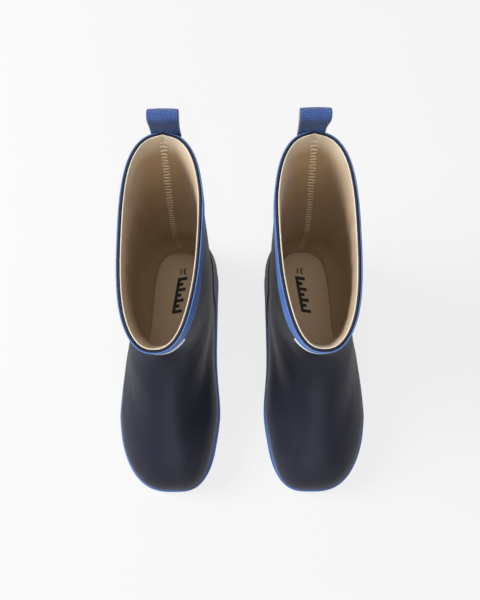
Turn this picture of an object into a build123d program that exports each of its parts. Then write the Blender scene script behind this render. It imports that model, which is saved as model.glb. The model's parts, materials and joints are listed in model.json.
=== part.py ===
from build123d import *
import math
import os

# A pair of pull-on rubber boots, standing side by side. The left boot (+X) is
# modelled and the right boot is its mirror image. Toes point to -Y, +Z is up.
# All sizes are in millimetres.

# ---------------------------------------------------------------- driving sizes
sole_length = 217.0
ball_width = 88.0          # outsole, across the ball
heel_width = 63.5          # outsole, across the heel
boot_height = 218.0        # ground to collar, without the loop
pair_gap = 36.0            # between the two soles
collar_length = 129.8      # outside of the upper at the collar, front to back
collar_width = 48.0        # outside of the upper at the collar, side to side
collar_overhang = 8.5      # how far the collar's back passes the sole's heel
collar_medial_inset = 2.6  # collar's medial side, from the sole's medial line
throat_height = 121.0      # where the front of the foot becomes the shaft
throat_reach = 105.9       # toe of the sole to the front of the ankle
rim_height = 14.0          # lowest full section of the upper
ankle_width = 60.0

upper_wall = 2.4
lining_wall = 1.3
stiffener_wall = 0.9
glue_gap = 0.1             # between bonded layers
sole_seat_gap = 0.45       # between the upper's wall and what is cemented to its foot
loose_gap = 0.35           # between pieces that move apart

sole_ledge = 2.5           # sole rim outside the upper
outsole_heel = 10.5        # height of the sole's upper face at the heel
outsole_ball = 7.5         # and at the ball
toe_spring = 4.5           # rise of the sole under the toe tip
heel_length = 66.0         # heel block of the outsole
forefoot_length = 112.0    # outsole's tread from the toe back
arch_lift = 3.5            # rise of the outsole's waist
tread_depth = 2.5
tread_groove = 3.6
tread_pitch = 11.0
tread_margin = 5.0         # plain edge round the tread
filler_depth = 2.4
board_thickness = 1.5
foam_thickness = 3.6
cover_thickness = 0.8
insole_margin = 3.4        # between insole and lining
insole_heel_half = 105.0   # heel of the sole to the line where the insole bends

foxing_height = 7.0
foxing_wall = 1.5
band_height = 14.0
band_wall = 1.1
counter_height = 88.0      # ground to the heel counter's top edge
counter_reach = 88.0       # heel counter, from the heel forwards
overlay_wall = 0.9
back_strip_width = 16.0
patch_width = 31.0
patch_height = 11.0
patch_wall = 0.6
patch_drop = 4.0           # from band to patch
puff_length = 46.0
stiffener_height = 72.0    # ground to the heel stiffener's top edge
stiffener_reach = 58.0
seam_width = 4.4
seam_wall = 0.5

loop_width = 18.0
loop_wall = 1.3
loop_height = 18.5         # hinge line to the top of the fold
loop_gap = 6.0             # between the legs under the fold
loop_set_back = 1.8        # fold behind the hinge line
loop_tail_length = 11.0

# ------------------------------------------------------------- derived places
# the origin is under the middle of the pair's box, so the y of toe and heel follow
# from how far the loop reaches behind the heel
loop_base = loop_wall * 0.62           # radius of the loop's rounded lower edge
fold_radius = loop_gap / 2 + loop_wall
rear_reach = collar_overhang - loop_wall / 2 + loop_set_back + fold_radius
toe_y = -(sole_length + rear_reach) / 2
heel_y = toe_y + sole_length
medial_x = pair_gap / 2
throat_y = toe_y + throat_reach
collar_back = heel_y + collar_overhang
collar_front = collar_back - collar_length
collar_medial = medial_x + collar_medial_inset
collar_lateral = collar_medial + collar_width
collar_centre = (collar_medial + collar_lateral) / 2 - 2.8
upper_toe = toe_y + sole_ledge
upper_heel = heel_y - sole_ledge
ball_medial = medial_x + sole_ledge
ball_lateral = medial_x + ball_width - sole_ledge
heel_medial = medial_x + 3.2 + sole_ledge
heel_lateral = heel_medial + heel_width - 2 * sole_ledge
shaft_rise = boot_height - throat_height
flex_y = heel_y - insole_heel_half
band_bottom = boot_height - band_height


def smooth_curve(*points):
    """A monotone cubic through (position, value) points, as a function."""
    at = [p[0] for p in points]
    value = [p[1] for p in points]
    rise = [(value[i + 1] - value[i]) / (at[i + 1] - at[i]) for i in range(len(at) - 1)]
    slope = [rise[0]]
    for before, after in zip(rise, rise[1:]):
        slope.append(0 if before * after <= 0 else 2 * before * after / (before + after))
    slope.append(rise[-1])

    def curve(x):
        x = min(max(x, at[0]), at[-1])
        i = max(k for k in range(len(at) - 1) if at[k] <= x)
        step = at[i + 1] - at[i]
        s = (x - at[i]) / step
        return (
            value[i] * (1 + 2 * s) * (1 - s) ** 2
            + value[i + 1] * s * s * (3 - 2 * s)
            + step * s * (1 - s) * (slope[i] * (1 - s) - slope[i + 1] * s)
        )

    return curve


# ------------------------------------------- the upper's lines, by height
back_line = smooth_curve(
    (rim_height, upper_heel),
    (rim_height + 18, upper_heel + 1.2),
    (rim_height + 41, upper_heel - 1.0),
    (throat_height - 39, upper_heel - 4.3),
    (throat_height - 16, upper_heel - 3.3),
    (throat_height + shaft_rise * 0.3, upper_heel + 2.7),
    (throat_height + shaft_rise * 0.66, upper_heel + 7.5),
    (boot_height, collar_back),
)

# the vamp: (share of the way from toe to throat, share of the height)
vamp_shape = (
    (0, 0), (0.006, 0.10), (0.038, 0.19), (0.120, 0.28), (0.228, 0.36), (0.368, 0.43),
    (0.528, 0.515), (0.679, 0.60), (0.815, 0.68), (0.912, 0.77), (0.978, 0.87), (1, 1),
)
front_line = smooth_curve(
    *(
        (
            rim_height + rise * (throat_height - rim_height),
            upper_toe + run * (throat_y - upper_toe),
        )
        for run, rise in vamp_shape
    ),
    (throat_height + shaft_rise * 0.25, throat_y + (collar_front - throat_y) * 0.17),
    (throat_height + shaft_rise * 0.61, throat_y + (collar_front - throat_y) * 0.58),
    (boot_height, collar_front),
)

# medial and lateral walls at four stations along the foot, heel to ball
ball_y = toe_y + 63.5
stations = (ball_y, heel_y - 104.5, heel_y - 72.5, heel_y - 30.5)
ankle_medial = medial_x + 3.4
ankle_lateral = ankle_medial + ankle_width
medial_walls = (
    smooth_curve(
        (rim_height, ball_medial), (26, ball_medial + 0.2), (38, ball_medial + 3.1),
        (50, ball_medial + 8), (62, ball_medial + 13), (80, ball_medial + 17),
        (throat_height - 11, ankle_medial + 8.5), (boot_height, collar_medial + 2),
    ),
    smooth_curve(
        (rim_height, ball_medial + 4.2), (32, ball_medial + 4.6), (55, ball_medial + 6.6),
        (80, ball_medial + 6.1), (throat_height - 11, ankle_medial + 3.5),
        (boot_height, collar_medial + 2),
    ),
    smooth_curve(
        (rim_height, heel_medial + 0.6), (32, heel_medial - 0.2), (60, heel_medial - 1.2),
        (throat_height, ankle_medial), (boot_height, collar_medial + 0.8),
    ),
    smooth_curve(
        (rim_height, heel_medial), (32, heel_medial - 1.7), (60, heel_medial - 2.1),
        (throat_height, ankle_medial - 1.2), (boot_height, collar_medial - 1.2),
    ),
)
lateral_walls = (
    smooth_curve(
        (rim_height, ball_lateral), (26, ball_lateral - 1.3), (38, ball_lateral - 5),
        (50, ball_lateral - 11.3), (62, ball_lateral - 18.3), (80, ball_lateral - 23),
        (throat_height - 11, ankle_lateral - 1.2), (boot_height, collar_lateral - 0.6),
    ),
    smooth_curve(
        (rim_height, ball_lateral - 6), (32, ball_lateral - 7.3), (50, ball_lateral - 11.3),
        (75, ball_lateral - 16.5), (throat_height - 11, ankle_lateral),
        (throat_height + 29, ankle_lateral - 5.2), (boot_height, collar_lateral - 0.6),
    ),
    smooth_curve(
        (rim_height, heel_lateral + 5.2), (32, heel_lateral + 5.2), (60, heel_lateral + 3.5),
        (throat_height - 21, ankle_lateral + 1.6), (throat_height + 29, ankle_lateral - 4.4),
        (boot_height, collar_lateral - 1.2),
    ),
    smooth_curve(
        (rim_height, heel_lateral), (32, heel_lateral + 1.8), (60, heel_lateral + 1.4),
        (throat_height - 21, ankle_lateral - 0.6), (throat_height + 29, ankle_lateral - 5.8),
        (boot_height, collar_lateral - 1.6),
    ),
)
heel_cap = smooth_curve(
    (rim_height, heel_width * 0.56), (50, heel_width * 0.6), (throat_height, heel_width * 0.8),
    (boot_height, collar_length / 2),
)
heel_fullness = smooth_curve((rim_height, 2.3), (throat_height, 2.5), (boot_height, 2.7))
toe_fullness = smooth_curve((rim_height, 2.95), (40, 2.8), (70, 2.5), (boot_height, 2.4))
toe_turn = smooth_curve((rim_height, 4.5), (60, 3.0), (90, 0), (boot_height, 0))

base_height = 6.0          # lowest section, inside the sole
section_count = 21
contour_points = 24


def moved_in(line, z, inset):
    """How far a line moves sideways when the wall it belongs to moves in."""
    slope = (line(z + 1) - line(z - 1)) / 2
    return inset * min(math.hypot(1, slope), 3)


def evenly_spaced(loop, count):
    """The same closed loop with count points at equal distances along it."""
    closed = loop + loop[:1]
    run = [0.0]
    for a, b in zip(closed, closed[1:]):
        run.append(run[-1] + math.dist(a, b))
    points = []
    k = 0
    for i in range(count):
        target = run[-1] * i / count
        while run[k + 1] < target:
            k += 1
        s = (target - run[k]) / (run[k + 1] - run[k])
        a, b = closed[k], closed[k + 1]
        points.append((a[0] + s * (b[0] - a[0]), a[1] + s * (b[1] - a[1])))
    return points


def contour(z, inset):
    """Points of the upper's horizontal section at height z, moved in by inset."""
    z = max(z, rim_height)
    back = back_line(z) - moved_in(back_line, z, inset)
    front = front_line(z) + moved_in(front_line, z, inset)
    medial = smooth_curve(
        *((y, wall(z) + moved_in(wall, z, inset)) for y, wall in zip(stations, medial_walls))
    )
    lateral = smooth_curve(
        *((y, wall(z) - moved_in(wall, z, inset)) for y, wall in zip(stations, lateral_walls))
    )
    half = (back - front) / 2
    straight = half - min(heel_cap(z), half)
    loop = []
    steps = 720
    for i in range(steps):
        angle = 2 * math.pi * i / steps
        along = -math.cos(angle)
        y = (back + front) / 2 - along * half
        share = along if along > 0 else max(0, -along * half - straight) / (half - straight)
        fullness = toe_fullness(z) if along > 0 else heel_fullness(z)
        breadth = (1 - min(share, 1) ** fullness) ** (1 / fullness)
        centre = (medial(y) + lateral(y)) / 2
        centre -= toe_turn(z) * max(0, (along - 0.55) / 0.45) ** 2
        side = -1 if angle < math.pi else 1
        loop.append((centre + side * breadth * (lateral(y) - medial(y)) / 2, y))
    return evenly_spaced(loop, contour_points)


def closed_edge(points):
    """A smooth closed edge through points; every one made has the same knots."""
    count = len(points)
    return Edge.make_spline(
        [Vector(*point) for point in points],
        periodic=True,
        parameters=[i / count for i in range(count + 1)],
    )


def last_shape(inset):
    """The solid inside the upper's outer face moved in by inset (out if negative)."""
    with BuildPart() as shape:
        for i in range(section_count):
            z = base_height + (boot_height - base_height) * i / (section_count - 1)
            with BuildSketch(Plane.XY.offset(z)):
                with BuildLine():
                    add(closed_edge(contour(z, inset)))
                make_face()
        loft()
    return shape.part


def plan_prism(inset):
    """An upright prism on the upper's lowest outline moved in by inset."""
    with BuildPart() as prism:
        with BuildSketch():
            with BuildLine():
                add(closed_edge(contour(rim_height, inset)))
            make_face()
        extrude(amount=boot_height)
    return prism.part


# ------------------------------------------------- regions, as seen from the side
side_reach = medial_x + ball_width + 20    # x that every side region passes
front_end = toe_y - 20
back_end = collar_back + 20
sole_line = smooth_curve(
    (front_end, outsole_ball + toe_spring * 1.2),
    (toe_y + 6, outsole_ball + toe_spring * 0.75),
    (toe_y + 28, outsole_ball + toe_spring * 0.18),
    (ball_y, outsole_ball),
    (flex_y, outsole_ball + (outsole_heel - outsole_ball) * 0.3),
    (heel_y - heel_length + 12, outsole_heel),
    (back_end, outsole_heel),
)


def side_layer(low, high):
    """Everything between the sole's upper line raised by low and by high."""
    rows = [front_end + (back_end - front_end) * i / 16 for i in range(17)]
    with BuildPart() as region:
        with BuildSketch(Plane.YZ):
            with BuildLine():
                lower = Spline(*((y, sole_line(y) + low) for y in rows))
                upper_edge = Spline(*((y, sole_line(y) + high) for y in rows))
                Line(lower @ 0, upper_edge @ 0)
                Line(lower @ 1, upper_edge @ 1)
            make_face()
        extrude(amount=side_reach)
    return region.part


def side_box(y_low, y_high, z_low, z_high, x_low=0.0, x_high=side_reach):
    """A plain box between two places along each axis."""
    with BuildPart() as region:
        with BuildSketch(Plane.YZ.offset(x_low)):
            with BuildLine():
                Polyline(
                    (y_low, z_low), (y_high, z_low), (y_high, z_high), (y_low, z_high), close=True
                )
            make_face()
        extrude(amount=x_high - x_low)
    return region.part


def heel_region(reach, top):
    """Behind a curve that climbs from the sole to a level edge round the back."""
    front = heel_y - reach
    with BuildPart() as region:
        with BuildSketch(Plane.YZ):
            with BuildLine():
                edge = Spline(
                    (front, base_height),
                    (front + reach * 0.24, top * 0.40),
                    (front + reach * 0.48, top * 0.78),
                    (front + reach * 0.72, top),
                    tangents=[(0.35, 1), (1, 0)],
                )
                Polyline(
                    edge @ 1, (back_end, top), (back_end, base_height), edge @ 0
                )
            make_face()
        extrude(amount=side_reach)
    return region.part


def back_strip_region(width, z_low, z_high, x_low, x_high):
    """A band of the given width down the back; its middle goes from x_low to x_high."""
    with BuildPart() as region:
        with BuildSketch(Plane.XZ.offset(-back_end)):
            with BuildLine():
                Polyline(
                    (x_low - width / 2, z_low), (x_low + width / 2, z_low),
                    (x_high + width / 2, z_high), (x_high - width / 2, z_high), close=True,
                )
            make_face()
        extrude(amount=back_end - flex_y - 30)
    return region.part


# ---------------------------------------------------------------- shared solids
outer = last_shape(0)
above_sole = side_layer(glue_gap, boot_height * 1.2)
overlay_base = last_shape(-glue_gap)
board_low = filler_depth + glue_gap
insole_low = board_low + board_thickness + loose_gap
cover_low = insole_low + foam_thickness + glue_gap
lining_outside = upper_wall + glue_gap
lining_inside = lining_outside + lining_wall
heel_centre = (heel_medial + heel_lateral) / 2

# --------------------------------------------------------------------- the sole
with BuildPart() as outsole:
    add(plan_prism(-sole_ledge))
    with BuildSketch(Plane.YZ):
        with BuildLine():
            tread_front = toe_y + forefoot_length
            heel_front = heel_y - heel_length
            top_rows = [front_end + (back_end - front_end) * i / 16 for i in range(17)]
            top = Spline(*((y, sole_line(y)) for y in top_rows))
            toe = Spline(
                (front_end, toe_spring * 1.6), (toe_y, toe_spring), (toe_y + 22, toe_spring * 0.2),
                (toe_y + 40, 0),
            )
            Line(top @ 0, toe @ 0)
            Polyline(
                toe @ 1, (tread_front, 0), (tread_front + 8, arch_lift), (heel_front, arch_lift),
                (heel_front, 0), (back_end, 0), top @ 1,
            )
        make_face()
    extrude(amount=side_reach, mode=Mode.INTERSECT)

groove_turn = 20           # degrees between a groove's arm and the sole's width
with BuildPart() as tread_grooves:
    with BuildSketch(Plane.XY.offset(-1)):
        middle = medial_x + ball_width / 2
        arm = ball_width * 0.6
        rows = int((sole_length - 24) / tread_pitch)
        for row in range(rows):
            y = toe_y + 20 + row * tread_pitch
            for side in (-1, 1):
                with Locations((middle + side * arm * 0.48, y)):
                    Rectangle(arm, tread_groove, rotation=side * groove_turn)
        with BuildLine():
            add(closed_edge(contour(rim_height, tread_margin - sole_ledge)))
        make_face(mode=Mode.INTERSECT)
    extrude(amount=tread_depth + 1)

with BuildPart() as outsole_with_tread:
    add(outsole.part)
    add(tread_grooves.part, mode=Mode.SUBTRACT)

with BuildPart() as foxing_strip:
    add(plan_prism(-foxing_wall - sole_seat_gap))
    add(plan_prism(-sole_seat_gap), mode=Mode.SUBTRACT)
    add(side_layer(glue_gap, foxing_height), mode=Mode.INTERSECT)

with BuildPart() as sole_filler:
    add(plan_prism(upper_wall + sole_seat_gap * 2))
    add(side_layer(glue_gap, filler_depth), mode=Mode.INTERSECT)

with BuildPart() as insole_board:
    add(plan_prism(upper_wall + sole_seat_gap * 2))
    add(side_layer(board_low, board_low + board_thickness), mode=Mode.INTERSECT)

# ------------------------------------------------------------- the upper's plies
puff_region = side_box(front_end, toe_y + puff_length, base_height, throat_height)
stiffener_region = heel_region(stiffener_reach, stiffener_height)
ply_space = side_layer(board_low + board_thickness, boot_height)
pocket_base = last_shape(upper_wall - stiffener_wall)
ply_base = last_shape(upper_wall - stiffener_wall + glue_gap)
upper_inside = last_shape(upper_wall)
tail_middle = collar_centre
tail_region = side_box(
    heel_y - 30, back_end, boot_height - loop_tail_length, boot_height + 1,
    tail_middle - loop_width / 2, tail_middle + loop_width / 2,
)
tail_bed = last_shape(loop_wall)

with BuildPart() as upper:
    add(outer)
    add(upper_inside, mode=Mode.SUBTRACT)
    add(above_sole, mode=Mode.INTERSECT)
    for ply_region in (puff_region, stiffener_region):
        add(pocket_base & ply_region & ply_space, mode=Mode.SUBTRACT)
    add(tail_region - tail_bed, mode=Mode.SUBTRACT)

with BuildPart() as toe_puff:
    add(ply_base)
    add(upper_inside, mode=Mode.SUBTRACT)
    add(puff_region, mode=Mode.INTERSECT)
    add(ply_space, mode=Mode.INTERSECT)

with BuildPart() as heel_stiffener:
    add(ply_base)
    add(upper_inside, mode=Mode.SUBTRACT)
    add(stiffener_region, mode=Mode.INTERSECT)
    add(ply_space, mode=Mode.INTERSECT)

# --------------------------------------------------- overlays on the upper's face
overlay_face = last_shape(-glue_gap - overlay_wall)
with BuildPart() as heel_counter:
    add(overlay_face)
    add(overlay_base, mode=Mode.SUBTRACT)
    add(heel_region(counter_reach, counter_height), mode=Mode.INTERSECT)
    add(side_layer(foxing_height + glue_gap, boot_height), mode=Mode.INTERSECT)

with BuildPart() as back_strip:
    add(overlay_face)
    add(overlay_base, mode=Mode.SUBTRACT)
    add(
        back_strip_region(
            back_strip_width, counter_height + glue_gap, band_bottom - glue_gap,
            heel_centre - 1.5, collar_centre,
        ),
        mode=Mode.INTERSECT,
    )

with BuildPart() as top_band:
    add(last_shape(-glue_gap - band_wall))
    add(overlay_base, mode=Mode.SUBTRACT)
    add(side_box(front_end, back_end, band_bottom, boot_height - 0.4), mode=Mode.INTERSECT)

patch_top = band_bottom - patch_drop
patch_middle = collar_centre + 3
with BuildPart() as reflective_patch:
    add(last_shape(-glue_gap - patch_wall))
    add(overlay_base, mode=Mode.SUBTRACT)
    add(
        side_box(
            front_end, collar_front + 30, patch_top - patch_height, patch_top,
            patch_middle - patch_width / 2, patch_middle + patch_width / 2,
        ),
        mode=Mode.INTERSECT,
    )

# -------------------------------------------------------------------- the lining
with BuildPart() as lining:
    add(last_shape(lining_outside))
    add(last_shape(lining_inside), mode=Mode.SUBTRACT)
    add(side_layer(board_low + board_thickness + glue_gap, boot_height * 1.2), mode=Mode.INTERSECT)

with BuildPart() as lining_seam:
    add(last_shape(lining_inside + glue_gap))
    add(last_shape(lining_inside + glue_gap + seam_wall), mode=Mode.SUBTRACT)
    add(
        back_strip_region(
            seam_width, outsole_heel + cover_low + cover_thickness + 8, boot_height - 2,
            heel_centre, collar_centre,
        ),
        mode=Mode.INTERSECT,
    )

# ----------------------------------------------------------- the removable insole
insole_plan = plan_prism(lining_inside + insole_margin)
heel_half = side_box(flex_y + loose_gap / 2, back_end, 0, boot_height)
toe_half = side_box(front_end, flex_y - loose_gap / 2, 0, boot_height)

with BuildPart() as insole_foam_heel:
    add(insole_plan)
    add(side_layer(insole_low, insole_low + foam_thickness), mode=Mode.INTERSECT)
    add(heel_half, mode=Mode.INTERSECT)

with BuildPart() as insole_foam_toe:
    add(insole_plan)
    add(side_layer(insole_low, insole_low + foam_thickness), mode=Mode.INTERSECT)
    add(toe_half, mode=Mode.INTERSECT)

with BuildPart() as insole_cover_heel:
    add(insole_plan)
    add(side_layer(cover_low, cover_low + cover_thickness), mode=Mode.INTERSECT)
    add(heel_half, mode=Mode.INTERSECT)

with BuildPart() as insole_cover_toe:
    add(insole_plan)
    add(side_layer(cover_low, cover_low + cover_thickness), mode=Mode.INTERSECT)
    add(toe_half, mode=Mode.INTERSECT)

# ------------------------------------------------------------------ the pull loop
with BuildPart() as loop_tail:
    add(tail_region)
    add(outer, mode=Mode.INTERSECT)
    add(last_shape(loop_wall - glue_gap), mode=Mode.SUBTRACT)

hinge_y = collar_back - loop_wall / 2
hinge_z = boot_height + loose_gap + loop_base
fold_y = hinge_y + loop_set_back
fold_z = hinge_z + loop_height - fold_radius
with BuildPart() as pull_loop:
    with BuildSketch(Plane.YZ.offset(collar_centre)):
        with Locations((hinge_y, hinge_z)):
            Circle(loop_base)
        with Locations((fold_y, fold_z)):
            Circle(fold_radius)
        make_hull()
    extrude(amount=loop_width / 2, both=True)
    with BuildSketch(Plane.YZ.offset(collar_centre)):
        with Locations((hinge_y + loop_set_back * 0.25, hinge_z + loop_height * 0.25)):
            Circle(loop_base / 3)
        with Locations((fold_y, fold_z)):
            Circle(loop_gap / 2)
        make_hull()
    extrude(amount=loop_width / 2, both=True, mode=Mode.SUBTRACT)

# ---------------------------------------------------------------- the pair's files
left_boot = {
    "outsole": outsole_with_tread,
    "foxing_strip": foxing_strip,
    "sole_filler": sole_filler,
    "insole_board": insole_board,
    "upper": upper,
    "toe_puff": toe_puff,
    "heel_stiffener": heel_stiffener,
    "heel_counter": heel_counter,
    "back_strip": back_strip,
    "top_band": top_band,
    "reflective_patch": reflective_patch,
    "lining": lining,
    "lining_seam": lining_seam,
    "insole_foam_heel": insole_foam_heel,
    "insole_foam_toe": insole_foam_toe,
    "insole_cover_heel": insole_cover_heel,
    "insole_cover_toe": insole_cover_toe,
    "loop_tail": loop_tail,
    "pull_loop": pull_loop,
}
os.makedirs("parts", exist_ok=True)
for name, piece in left_boot.items():
    with BuildPart() as twin:
        mirror(piece.part, about=Plane.YZ)
    piece.part.label = f"left_{name}"
    twin.part.label = f"right_{name}"
    export_step(piece.part, f"parts/left_{name}.step")
    export_step(twin.part, f"parts/right_{name}.step")
print(f"loop hinge: y {hinge_y:.3f}, z {hinge_z:.3f}; insole bend: y {flex_y:.3f}, "
      f"z {sole_line(flex_y) + cover_low + cover_thickness:.3f}")
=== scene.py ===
import json
import math

import bpy
import numpy as np
from mathutils import Matrix, Vector


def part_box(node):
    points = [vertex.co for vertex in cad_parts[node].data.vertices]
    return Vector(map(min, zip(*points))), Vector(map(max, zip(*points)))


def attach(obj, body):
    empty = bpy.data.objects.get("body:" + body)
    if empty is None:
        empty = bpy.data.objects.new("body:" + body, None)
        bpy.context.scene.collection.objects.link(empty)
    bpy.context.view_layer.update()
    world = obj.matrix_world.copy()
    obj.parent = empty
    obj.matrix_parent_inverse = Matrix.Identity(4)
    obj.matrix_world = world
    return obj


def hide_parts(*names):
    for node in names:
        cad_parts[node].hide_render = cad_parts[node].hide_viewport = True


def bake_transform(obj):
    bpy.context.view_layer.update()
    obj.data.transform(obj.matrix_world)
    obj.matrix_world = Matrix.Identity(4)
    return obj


# A pair of pull-on rubber boots. The left boot (+X) is shaped and the right one is its mirror image.
# Shapes are worked out in millimetres and turned into metres when a mesh is made.

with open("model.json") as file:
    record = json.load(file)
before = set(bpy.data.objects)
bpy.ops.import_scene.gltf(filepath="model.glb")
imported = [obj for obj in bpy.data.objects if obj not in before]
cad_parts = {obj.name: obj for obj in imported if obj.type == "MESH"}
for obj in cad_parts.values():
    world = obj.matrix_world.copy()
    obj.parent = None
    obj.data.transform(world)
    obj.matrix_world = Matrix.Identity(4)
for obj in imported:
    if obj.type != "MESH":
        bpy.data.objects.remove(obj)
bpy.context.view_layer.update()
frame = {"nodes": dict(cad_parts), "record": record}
MM = 0.001


def box_mm(node):
    low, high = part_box(node)
    return np.array(low) / MM, np.array(high) / MM


# ------------------------------------------------------------ sizes, from the frame where it holds them
sole_low, sole_high = box_mm("left_outsole")
patch_low, patch_high = box_mm("left_reflective_patch")
band_bottom = box_mm("left_top_band")[0][2]
counter_top = box_mm("left_heel_counter")[1][2]
insole_highest = box_mm("left_insole_cover_heel")[1][2]
loop_back, loop_top = box_mm("left_pull_loop")[1][1:]
toe_y = sole_low[1]
heel_y = sole_high[1]
medial_x = sole_low[0]
boot_height = box_mm("left_upper")[1][2]
joints = {joint["name"]: joint for joint in frame["record"]["behaviour"]["joints"]}
flex_y = joints["left_insole_lift"]["pos_m"][1] / MM
hinge_z = joints["left_loop_swing"]["pos_m"][2] / MM

ball_width = 88.0
heel_width = 63.5
heel_inset = 3.2             # the heel's medial side, from the sole's medial line
collar_back = heel_y + 8.5
collar_length = 129.8
collar_front = collar_back - collar_length
collar_medial = medial_x + 2.6
collar_width = 48.0
collar_lateral = collar_medial + collar_width
loop_offset = 2.8            # the loop's middle, medial of the collar's middle
loop_x = (collar_medial + collar_lateral) / 2 - loop_offset
throat_height = 121.0
throat_y = toe_y + 105.9
rim_height = 14.0
ankle_medial = medial_x + 3.4
ankle_lateral = ankle_medial + 60.0
upper_wall = 2.4
lining_wall = 1.3
glue_gap = 0.1               # between bonded layers
collar_thinning = 1.1        # of the upper's wall, at its top edge
edge_share = 0.65            # of the lining's thickness, left at its top edge
sole_ledge = 2.5
outsole_heel = 10.5
outsole_ball = 7.5
toe_spring = 4.5
arch_lift = 3.5
foxing_height = 7.0
foxing_wall = 1.5
foxing_gap = 0.45
band_wall = 0.95
overlay_wall = 1.0
patch_wall = 0.7
insole_stack = 9.0           # outsole's upper face to the insole's top
insole_margin = 3.4
insole_dish = 0.5            # how far the insole's middle lies below its rim
loop_width = 18.0
loop_wall = 1.3

upper_toe = toe_y + sole_ledge
upper_heel = heel_y - sole_ledge
ball_medial = medial_x + sole_ledge
ball_lateral = medial_x + ball_width - sole_ledge
heel_medial = medial_x + heel_inset + sole_ledge
heel_lateral = heel_medial + heel_width - 2 * sole_ledge
shaft_rise = boot_height - throat_height
lining_face = -upper_wall - glue_gap - lining_wall
number_place = (52.2, 75.3)  # middle of the size number, left boot
ruler_place = (51.2, 76.1)   # where the fit ruler's line begins


def smooth_curve(*points):
    """A monotone cubic through (position, value) points, as a function of an array."""
    at = np.array([p[0] for p in points], float)
    value = np.array([p[1] for p in points], float)
    step = np.diff(at)
    rise = np.diff(value) / step
    slope = np.zeros(len(at))
    slope[0] = rise[0]
    slope[-1] = rise[-1]
    for i in range(1, len(at) - 1):
        before, after = rise[i - 1], rise[i]
        slope[i] = 0 if before * after <= 0 else 2 * before * after / (before + after)

    def curve(x):
        x = np.clip(x, at[0], at[-1])
        i = np.clip(np.searchsorted(at, x, side="right") - 1, 0, len(step) - 1)
        s = (x - at[i]) / step[i]
        return (
            value[i] * (1 + 2 * s) * (1 - s) ** 2
            + value[i + 1] * s * s * (3 - 2 * s)
            + step[i] * s * (1 - s) * (slope[i] * (1 - s) - slope[i + 1] * s)
        )

    return curve


def smooth_step(x, low, high):
    s = np.clip((x - low) / (high - low), 0, 1)
    return s * s * (3 - 2 * s)


# ------------------------------------------------------------------- the upper's lines, as in the CAD
back_line = smooth_curve(
    (rim_height, upper_heel), (rim_height + 18, upper_heel + 1.2), (rim_height + 41, upper_heel - 1.0),
    (throat_height - 39, upper_heel - 4.3), (throat_height - 16, upper_heel - 3.3),
    (throat_height + shaft_rise * 0.3, upper_heel + 2.7),
    (throat_height + shaft_rise * 0.66, upper_heel + 7.5), (boot_height, collar_back),
)
vamp_shape = (
    (0, 0), (0.006, 0.10), (0.038, 0.19), (0.120, 0.28), (0.228, 0.36), (0.368, 0.43),
    (0.528, 0.515), (0.679, 0.60), (0.815, 0.68), (0.912, 0.77), (0.978, 0.87), (1, 1),
)
vamp = [
    (rim_height + rise * (throat_height - rim_height), upper_toe + run * (throat_y - upper_toe))
    for run, rise in vamp_shape
]
front_line = smooth_curve(
    *vamp,
    (throat_height + shaft_rise * 0.25, throat_y + (collar_front - throat_y) * 0.17),
    (throat_height + shaft_rise * 0.61, throat_y + (collar_front - throat_y) * 0.58),
    (boot_height, collar_front),
)
ball_y = toe_y + 63.5
stations = (ball_y, heel_y - 104.5, heel_y - 72.5, heel_y - 30.5)
medial_walls = (
    smooth_curve(
        (rim_height, ball_medial), (26, ball_medial + 0.2), (38, ball_medial + 3.1),
        (50, ball_medial + 8), (62, ball_medial + 13), (80, ball_medial + 17),
        (throat_height - 11, ankle_medial + 8.5), (boot_height, collar_medial + 2),
    ),
    smooth_curve(
        (rim_height, ball_medial + 4.2), (32, ball_medial + 4.6), (55, ball_medial + 6.6),
        (80, ball_medial + 6.1), (throat_height - 11, ankle_medial + 3.5),
        (boot_height, collar_medial + 2),
    ),
    smooth_curve(
        (rim_height, heel_medial + 0.6), (32, heel_medial - 0.2), (60, heel_medial - 1.2),
        (throat_height, ankle_medial), (boot_height, collar_medial + 0.8),
    ),
    smooth_curve(
        (rim_height, heel_medial), (32, heel_medial - 1.7), (60, heel_medial - 2.1),
        (throat_height, ankle_medial - 1.2), (boot_height, collar_medial - 1.2),
    ),
)
lateral_walls = (
    smooth_curve(
        (rim_height, ball_lateral), (26, ball_lateral - 1.3), (38, ball_lateral - 5),
        (50, ball_lateral - 11.3), (62, ball_lateral - 18.3), (80, ball_lateral - 23),
        (throat_height - 11, ankle_lateral - 1.2), (boot_height, collar_lateral - 0.6),
    ),
    smooth_curve(
        (rim_height, ball_lateral - 6), (32, ball_lateral - 7.3), (50, ball_lateral - 11.3),
        (75, ball_lateral - 16.5), (throat_height - 11, ankle_lateral),
        (throat_height + 29, ankle_lateral - 5.2), (boot_height, collar_lateral - 0.6),
    ),
    smooth_curve(
        (rim_height, heel_lateral + 5.2), (32, heel_lateral + 5.2), (60, heel_lateral + 3.5),
        (throat_height - 21, ankle_lateral + 1.6), (throat_height + 29, ankle_lateral - 4.4),
        (boot_height, collar_lateral - 1.2),
    ),
    smooth_curve(
        (rim_height, heel_lateral), (32, heel_lateral + 1.8), (60, heel_lateral + 1.4),
        (throat_height - 21, ankle_lateral - 0.6), (throat_height + 29, ankle_lateral - 5.8),
        (boot_height, collar_lateral - 1.6),
    ),
)
heel_cap = smooth_curve(
    (rim_height, heel_width * 0.56), (50, heel_width * 0.6), (throat_height, heel_width * 0.8),
    (boot_height, collar_length / 2),
)
heel_fullness = smooth_curve((rim_height, 2.3), (throat_height, 2.5), (boot_height, 2.7))
toe_fullness = smooth_curve((rim_height, 2.95), (40, 2.8), (70, 2.5), (boot_height, 2.4))
toe_turn = smooth_curve((rim_height, 4.5), (60, 3.0), (90, 0), (boot_height, 0))
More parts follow.
